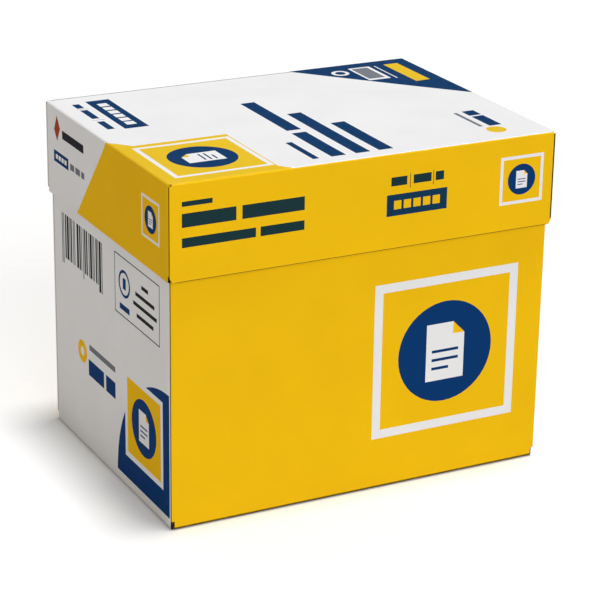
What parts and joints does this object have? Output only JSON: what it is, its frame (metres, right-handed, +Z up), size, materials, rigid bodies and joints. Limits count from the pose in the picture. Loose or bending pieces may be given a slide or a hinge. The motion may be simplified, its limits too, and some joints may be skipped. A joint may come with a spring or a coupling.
{
  "type": "carton of paper reams",
  "caption": "Two-piece corrugated board carton with a lift-off telescoping lid, holding a flat stack of wrapped reams of copy paper.",
  "frame": {"origin": "middle of the carton's underside, on the surface that it stands on", "axes": "+X along the long side, -Y out of the front wall, +Z up out of the lid's top"},
  "size_m": [0.308, 0.2278, 0.26],
  "materials": {
    "base_board": "printed corrugated board, satin",
    "lid_board": "printed corrugated board, satin",
    "ream_wrapper": "coated wrapping paper, satin"
  },
  "bodies": {
    "carton": {"carton_base": "base_board", "ream_1": "ream_wrapper", "ream_2": "ream_wrapper", "ream_3": "ream_wrapper", "ream_4": "ream_wrapper", "ream_5": "ream_wrapper"},
    "lid": {"carton_lid": "lid_board"}
  },
  "joints": [
    {"name": "lid_lift", "type": "slide", "parent": "carton", "child": "lid", "axis": [0, 0, 1], "range_m": [0, 0.12]}
  ]
}
